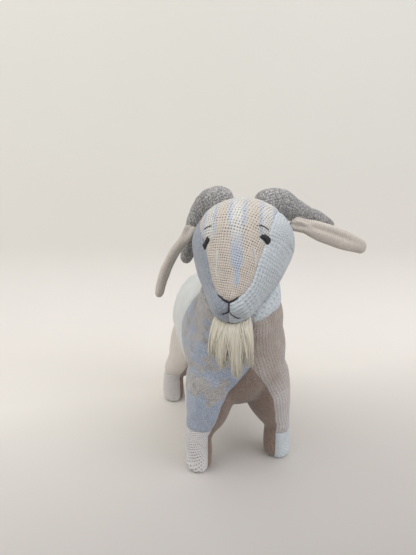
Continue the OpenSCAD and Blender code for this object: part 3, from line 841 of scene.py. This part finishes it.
head_pieces, face_tree, strip_seam = make_head()
HEAD_LOOK = {
    "head_gusset": ("strip", "striped_knit", (0, 1, 0)),
    "head_side_left": ("cheek", "pale_blue_knit", None),
    "head_side_right": ("blue", "blue_knit", (-0.45, 0.9, 0)),
}
for name, piece in head_pieces.items():
    look, slot, up = HEAD_LOOK[name]
    piece.name = name + "_cloth"
    if up:
        lay_flat(piece, face_to_row.to_3x3() @ Vector(up))
    else:
        lay_along(piece, [strip_seam], 76 * MM)
    as_cloth(piece, look)
    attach(piece, "head")
    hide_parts(name, *(["head_fill"] if name == "head_gusset" else []))


# ---- Floss ---------------------------------------------------------------------------------------


def floss():
    """Black six-strand cotton floss: mercerised, so a little glossier than the wool, with the twist of its
    strands in its relief and as painted shade that darkens the colour in the grooves of the twist."""
    made, tree = new_material("black cotton floss")
    flat = add(tree, "UVMap", uv_map="cloth")
    split = add(tree, "SeparateXYZ", flat)
    slant = add(tree, "Math", split.outputs[0], 1.6, split.outputs[1], operation="MULTIPLY_ADD")
    turns = add(tree, "Math", slant, 2 * math.pi / (0.9 * MM), operation="MULTIPLY")
    strand = add(tree, "Math", turns, operation="SINE")
    # painted shade: the colour darkens into the grooves of the twist
    light = add(tree, "MapRange", strand, -1.0, 1.0, 0.0, 1.0)
    tint = add(tree, "Mix", light, data_type="RGBA", A=srgb("#0e0e10"), B=srgb("#26262b"))
    bump = add(tree, "Bump", Strength=0.6, Distance=0.12 * MM, Height=strand)
    surface = add(tree, "BsdfPrincipled", Base_Color=tint.outputs["Result"], Roughness=0.65, Normal=bump,
                  Sheen_Weight=0.05)
    add(tree, "OutputMaterial", surface)
    return made


def rope(bm, points, radii, sides):
    """A closed tapering tube through points, grown from a ring by extruding it along the line."""
    if not bm.loops.layers.uv.get("cloth"):
        bm.loops.layers.uv.new("cloth")
    last = len(points) - 1
    ways = [(points[min(i + 1, last)] - points[max(i - 1, 0)]).normalized() for i in range(last + 1)]
    turn = ways[0].to_track_quat("Z", "Y")
    ring = bmesh.ops.create_circle(
        bm, segments=sides, radius=radii[0], cap_ends=False,
        matrix=Matrix.Translation(points[0]) @ turn.to_matrix().to_4x4(),
    )["verts"]
    ring = list(ring)
    first = ring
    before = ways[0]
    made = []
    for i in range(1, len(points)):
        edges = list({e for v in ring for e in v.link_edges if all(w in ring for w in e.verts)})
        grown = bmesh.ops.extrude_edge_only(bm, edges=edges)["geom"]
        made += [g for g in grown if isinstance(g, bmesh.types.BMFace)]
        ring = [g for g in grown if isinstance(g, bmesh.types.BMVert)]
        swing = before.rotation_difference(ways[i]).to_matrix().to_4x4()
        size = Matrix.Scale(radii[i] / radii[i - 1], 4)
        back = Matrix.Translation(-points[i - 1])
        bmesh.ops.transform(bm, verts=ring, matrix=Matrix.Translation(points[i]) @ swing @ size @ back)
        before = ways[i]
    for end in (first, ring):
        edges = list({e for v in end for e in v.link_edges if all(w in end for w in e.verts)})
        made += bmesh.ops.contextual_create(bm, geom=edges)["faces"]
    bmesh.ops.recalc_face_normals(bm, faces=made)
    return made


def on_face(x, y, lift):
    """A place on the cloth of the face, at x, y in mm in the face's frame, lifted off it in mm."""
    hit = face_tree.ray_cast(Vector((x * MM, y * MM, 0.2)), Vector((0, 0, -1)))
    return face_to_row @ (hit[0] + hit[1] * (lift * MM))


def on_muzzle(x, z, lift):
    """The same at x, z in mm on the front of the muzzle, in the muzzle's axes."""
    start = row_to_face @ muzzle_to_row @ Vector((x * MM, -0.2, z * MM))
    way = (row_to_face @ muzzle_to_row).to_3x3() @ Vector((0, 1, 0))
    hit = face_tree.ray_cast(start, way)
    return face_to_row @ (hit[0] + hit[1] * (lift * MM))


def stitch(bm, place, a, b, radius, lift=0.3, steps=7):
    """One straight stitch of floss from a to b, which dips into the cloth at both ends."""
    a, b = Vector(a), Vector(b)
    points, radii = [], []
    for i in range(steps + 1):
        t = i / steps
        flat = a.lerp(b, t)
        arch = math.sin(math.pi * t) ** 0.5
        points.append(place(flat.x, flat.y, -0.6 + (lift + 0.6) * arch))
        radii.append(radius * MM * (0.55 + 0.45 * arch))
    rope(bm, points, radii, 8)


def bent(points, n):
    """Evenly spaced flat points along a line through points."""
    points = [Vector(p) for p in points]
    lengths = [0]
    for a, b in zip(points, points[1:]):
        lengths.append(lengths[-1] + (b - a).length)
    made = []
    for i in range(n + 1):
        at = lengths[-1] * i / n
        k = max(j for j in range(len(points) - 1) if lengths[j] <= at + 1e-9)
        t = (at - lengths[k]) / (lengths[k + 1] - lengths[k])
        made.append(points[k].lerp(points[k + 1], min(t, 1)))
    return made


BLACK = floss()


def sewn(name, draw):
    """A piece of embroidery on the head, drawn by draw(bm), that stands for the node of that name."""
    bm = bmesh.new()
    draw(bm)
    piece = object_from(bm, name + "_floss", [BLACK])
    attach(piece, "head")
    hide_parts(name)
    return piece


# Each eye's outline, from its own middle, in mm: it ends in a point below
EYE_SHAPE = {
    "left": ([-3.9, -2.2, 0, 2.2, 3.7], [0.6, 3.2, 4.2, 4.2, 2.4], [-0.8, -2.2, -3.8, -5.4, -2.4]),
    "right": ([-3.2, -1.6, 0, 1.6, 2.9], [1.0, 3.6, 5.0, 4.6, 2.0], [-2.0, -6.2, -5.0, -2.4, 0.2]),
}


def draw_eye(hand):
    """Satin stitch: upright stitches side by side, each from the upper edge of the eye's outline to the
    lower."""
    at = EYES[hand]
    across, upper, lower = EYE_SHAPE[hand]

    def draw(bm):
        for layer in (0.3, 0.75):
            spread = 1.0 if layer < 0.5 else 0.62
            for i in range(9):
                x = across[0] + (across[-1] - across[0]) * i / 8
                top, foot = np.interp(x, across, upper), np.interp(x, across, lower)
                middle = (top + foot) / 2
                x, top, foot = x * spread, middle + (top - middle) * spread, middle + (foot - middle) * spread
                stitch(bm, on_face, (at.x + x, at.y + top), (at.x + x, at.y + foot), 0.55, layer)

    return draw


BROWS = {"left": [(18.1, -6.6), (22.6, -6.3), (27.1, -8.2)],
         "right": [(-29.6, -8.6), (-25.4, -7.6), (-21.2, -7.6)]}


def line_of_floss(bm, place, points, radius, steps, lift=0.35):
    """A couched line of floss through points, which tapers into the cloth at both ends."""
    flat = bent(points, steps)
    made, radii = [], []
    for i, p in enumerate(flat):
        end = min(i, steps - i) / steps
        rise = min(1, end * 7) ** 0.6
        made.append(place(p.x, p.y, -0.5 + (lift + 0.5) * rise))
        radii.append(radius * MM * (0.35 + 0.65 * rise))
    rope(bm, made, radii, 8)


def draw_brow(hand):
    return lambda bm: line_of_floss(bm, on_face, BROWS[hand], 0.42, 10)


def draw_nose(bm):
    line_of_floss(bm, on_muzzle, MOUTH["nose"], 0.62, 18)
    line_of_floss(bm, on_muzzle, [(-6.5, -35.0), (0.5, -38.0), (6.0, -35.0)], 0.5, 12)
    line_of_floss(bm, on_muzzle, MOUTH["lip"], 0.5, 10)


def draw_mouth(bm):
    line_of_floss(bm, on_muzzle, MOUTH["smile"][:3], 0.5, 8)
    line_of_floss(bm, on_muzzle, MOUTH["smile"][2:], 0.36, 10)


def bridge_yarn():
    """The strip's own cream yarn, worked in a line of stitches on each side of the nose."""
    bm = bmesh.new()
    for line in ([(-14, -29), (-12.9, -39), (-13, -48), (-11, -54.5)],
                 [(16, -25.5), (18.2, -34), (18.6, -42)]):
        line_of_floss(bm, on_face, line, 0.75, 16, 0.1)
    piece = object_from(bm, "bridge_stitches", [CLOTH["cream"]])
    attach(piece, "head")


for hand in ("left", "right"):
    sewn("eye_" + hand, draw_eye(hand))
    sewn("brow_" + hand, draw_brow(hand))
sewn("nose_stitch", draw_nose)
sewn("mouth_stitch", draw_mouth)
bridge_yarn()


# ---- Horns, ears and tail ------------------------------------------------------------------------


def wrap_round(piece, line):
    """A UV map for a tube: up its length and round its middle line, both in metres."""
    mesh = piece.data
    layer = mesh.uv_layers.new(name="cloth")
    runs = [0.0]
    for a, b in zip(line, line[1:]):
        runs.append(runs[-1] + (b - a).length)
    mean = np.mean([min((v.co - p).length for p in line) for v in mesh.vertices]) * 0.8
    place = []
    for v in mesh.vertices:
        best = None
        for i, (a, b) in enumerate(zip(line, line[1:])):
            t = (v.co - a).dot(b - a) / (b - a).length_squared
            t = max(0 if i else -1, min(1 if i < len(line) - 2 else 2, t))
            gap = (v.co - a - (b - a) * t).length
            if best is None or gap < best[0]:
                best = (gap, i, t)
        _, i, t = best
        way = (line[i + 1] - line[i]).normalized()
        side = way.cross(Vector((0, 0.35, 1))).normalized()
        off = v.co - line[i]
        angle = math.atan2(off.dot(way.cross(side)), off.dot(side))
        place.append((angle, runs[i] + t * (runs[i + 1] - runs[i])))
    for face in mesh.polygons:
        angles = [place[v][0] for v in face.vertices]
        turn = max(angles) - min(angles) > math.pi
        for loop, vertex, angle in zip(face.loop_indices, face.vertices, angles):
            if turn and angle < 0:
                angle += 2 * math.pi
            layer.uv[loop].vector = (angle * mean, place[vertex][1])
    return runs[-1]


def head_line(points):
    return [head_to_row @ (Vector(p) * MM) for p in points]


HORN_LINE = {
    "right": [(-16, 4, 36), (-29, 9, 39), (-42, 17, 29), (-52, 23, 10), (-58, 26, -9), (-64, 29, -27)],
    "left": [(14, 8, 35), (30, 20, 37), (43, 32, 29), (55, 43, 23), (68, 53, 18), (84, 62, 10)],
}


def make_horn(hand):
    """A curved stuffed horn: wrinkled on the inside of its bend, and creased half way on the left."""
    bm = stuffed_form(["horn_" + hand, "horn_fill_" + hand], 1.1, 14)
    line = head_line(HORN_LINE[hand])
    crease = line[3].lerp(line[4], 0.3)
    way = (line[4] - line[3]).normalized()

    def shape(v):
        along = (v.co - crease).dot(way) / MM
        change = 0.5 + 0.55 * lumps(v.co, 12, 11) + 0.2 * lumps(v.co, 5, 12)
        if hand == "left":
            change -= 1.3 * math.exp(-((along / 2.2) ** 2)) * (1.2 + v.normal.dot(Vector((0, -0.6, -0.8))))
        return change

    swell(bm, shape)
    for v in bm.verts:
        # the root is drawn into the head's cloth
        depth = ((v.co - SKULL).length - SKULL_R) / MM
        if depth < 6:
            v.co += (SKULL - v.co).normalized() * (3.2 * MM * (1 - depth / 6))
    piece = object_from(bm, f"horn_{hand}_cloth", [CLOTH["horn"]])
    wrap_round(piece, line)
    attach(piece, "head")
    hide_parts("horn_" + hand, "horn_fill_" + hand)


EAR_ROOT = {"right": Vector((-0.984, 0.043, 0.171)), "left": Vector((0.926, 0.194, 0.322))}
EAR_WAY = {"right": Vector((-0.387, -0.181, -0.904)), "left": Vector((0.889, 0.304, -0.34))}
EAR_ACROSS = {"right": Vector((0, 0.98, -0.196)), "left": Vector((0.254, 0.289, 0.922))}
EAR_L = 77
EAR_ROOT_OUT = 54.2


def make_ear(hand):
    """A flat tube of cloth, gathered at its sewn root, with a soft fold down its length."""
    bm = stuffed_form(["ear_" + hand], 1.0, 12)
    turn = head_to_row.to_3x3()
    way, across = turn @ EAR_WAY[hand], turn @ EAR_ACROSS[hand]
    out = turn @ EAR_ROOT[hand]
    root = head_to_row @ (EAR_ROOT[hand] * (EAR_ROOT_OUT * MM))
    front = way.cross(across)
    front = front if front.dot(CAMERA_LOOKS) < 0 else -front

    def shape(v):
        off = (v.co - root) / MM
        along, side = off.dot(way), off.dot(across)
        facing = max(0, v.normal.dot(front))
        fold = math.exp(-(((side - 1.5) / 2.6) ** 2)) * max(0, min(1, along / 14)) * facing
        gather = math.exp(-((along / 9) ** 2))
        pleat = gather * 0.9 * math.cos(math.atan2(off.dot(front), side) * 5)
        dent = 1.9 * fold * math.exp(-((along / 60) ** 4))
        return 0.3 - dent + pleat - 1.2 * gather + 0.45 * lumps(v.co, 11, 21)

    swell(bm, shape)
    for v in bm.verts:
        along = (v.co - root).dot(out) / MM
        if along < 2:
            v.co -= out * (min(3.0, 0.5 * (2 - along)) * MM)
    piece = object_from(bm, f"ear_{hand}_cloth", [CLOTH["ear"]])
    wrap_round(piece, [root, root + way * (EAR_L * 0.5 * MM), root + way * (EAR_L * MM)])
    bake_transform(piece)
    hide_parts("ear_" + hand)


for hand in ("left", "right"):
    make_horn(hand)
    make_ear(hand)

TAIL_ROOT = GOAT + Vector((0, 96.2, 150.7)) * MM


def make_tail():
    bm = stuffed_form(["tail"], 1.0, 12)
    swell(bm, lambda v: 0.3 + 0.5 * lumps(v.co, 10, 31))
    inward = Vector((0, -0.88, -0.47))
    for v in bm.verts:
        along = (v.co - TAIL_ROOT).dot(inward) / MM
        if along > -1:
            v.co += inward * (0.7 * (along + 1) * MM)
    piece = object_from(bm, "tail_cloth", [CLOTH["beige"]])
    wrap_round(piece, [TAIL_ROOT, TAIL_ROOT + Vector((0, 14, 4)) * MM, TAIL_ROOT + Vector((0, 30, -8)) * MM])
    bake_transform(piece)
    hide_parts("tail")


make_tail()


# ---- Beard ---------------------------------------------------------------------------------------


def pile():
    """Long acrylic pile, combed straight: fine fibres with a soft sheen, a little lighter and darker from
    one lock to the next."""
    made, tree = new_material("long cream pile")
    place = add(tree, "TexCoord").outputs["Object"]
    stretch = add(tree, "Mapping", place, Scale=(1.0, 1.0, 0.08))
    strand = add(tree, "TexNoise", stretch, Scale=900.0, Detail=3.0)
    light = add(tree, "MapRange", strand, 0.35, 0.65, 0.0, 1.0)
    tint = add(tree, "Mix", light, data_type="RGBA", A=srgb("#d8d2c0"), B=srgb("#e4dece"))
    bump = add(tree, "Bump", Strength=0.25, Distance=0.2 * MM, Height=strand)
    surface = add(tree, "BsdfPrincipled", Base_Color=tint.outputs["Result"], Roughness=0.65, Normal=bump,
                  Sheen_Weight=0.4, Sheen_Roughness=0.4)
    add(tree, "OutputMaterial", surface)
    return made


BEARD_ROOT = Vector((1, -57, -64.5))
BEARD_HAIRS = 2200
# The points that the beard ends in, across, forward and down from its root, with how much of the pile goes
# to each
BEARD_TIPS = [(Vector((3, 1, -46)), 1.7), (Vector((13, 0, -34)), 0.35), (Vector((-10, 0, -38)), 0.6),
              (Vector((-18, 1, -29)), 0.45)]


def make_beard():
    """A patch of pile sewn under the chin, wider than the chin, its long straight hairs gathered into
    points."""
    rng = random.Random(7)
    bm = bmesh.new()
    for _ in range(BEARD_HAIRS):
        hair = bmesh.new()
        x = rng.uniform(-1, 1)
        y = rng.uniform(-1, 1) * math.sqrt(1 - x * x * 0.8)
        high = 6.0 + 4.5 * x * x + rng.uniform(-1, 1)
        start = BEARD_ROOT + Vector((x * 14.5 - 1.5, y * 5.0 + 2 * x * x, high))
        weights = [w * math.exp(-(((x * 16 - 1.5 - t.x) / 7.0) ** 2)) + 1e-3 for t, w in BEARD_TIPS]
        tip = BEARD_TIPS[rng.choices(range(4), weights)[0]][0]
        reach = rng.uniform(0.6, 1.0) ** 0.45
        spread = 4.2 * (1.12 - reach)
        reach *= 1 - 0.018 * abs(x * 16 - 1.5 - tip.x)
        aside = tip.x + rng.gauss(0, 0.9 + spread)
        forward = tip.y + y * 4 + rng.gauss(0, 0.8)
        end = BEARD_ROOT + Vector((aside, forward, tip.z * reach))
        belly = Vector((x * 2.0, y * 3.0 - 1.2, 0))
        points = []
        for i in range(7):
            t = i / 6
            points.append(head_to_row @ ((start.lerp(end, t) + belly * math.sin(math.pi * t ** 0.8)) * MM))
        thick = rng.uniform(0.4, 0.65) * MM
        rope(hair, points, [thick * f for f in (1.0, 1.2, 1.2, 1.1, 0.9, 0.6, 0.12)], 4)
        one = bpy.data.meshes.new("hair")
        hair.to_mesh(one)
        hair.free()
        bm.from_mesh(one)
        bpy.data.meshes.remove(one)
    piece = object_from(bm, "beard_pile", [pile()])
    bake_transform(piece)
    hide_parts("beard")


make_beard()
